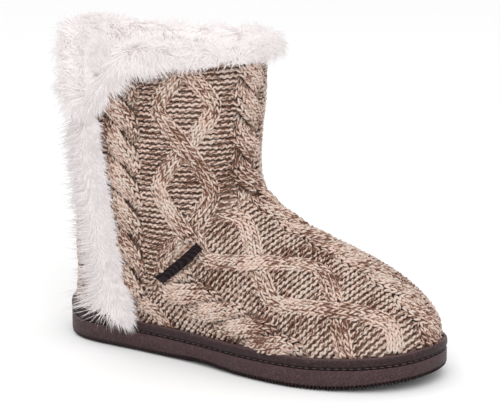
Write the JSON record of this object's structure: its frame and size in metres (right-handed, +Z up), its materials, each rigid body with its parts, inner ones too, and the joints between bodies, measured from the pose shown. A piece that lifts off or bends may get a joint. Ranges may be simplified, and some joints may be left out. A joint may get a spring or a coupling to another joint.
{
  "type": "slipper",
  "caption": "Right ankle-high slipper boot: chunky cable-knit upper with a shaggy fur cuff and side strip on a moulded rubber cup sole.",
  "frame": {"origin": "on the floor, under the middle of the leg, in the flat of the heel", "axes": "-Y to the toe, -X to the outer side of the foot, +Z up"},
  "size_m": [0.129, 0.2777, 0.2121],
  "materials": {
    "rubber": "satin moulded, dark brown",
    "fleece": "deep fleece, off-white",
    "knit": "chunky cable knit in marled beige and brown yarn",
    "fur": "long soft pile, white with a pink tint",
    "label": "dense dark woven tape, bare"
  },
  "bodies": {
    "root": {"sole": "rubber", "insole": "fleece", "upper": "knit", "fur_cuff": "fur", "fur_strip": "fur", "label": "label"}
  },
  "joints": []
}
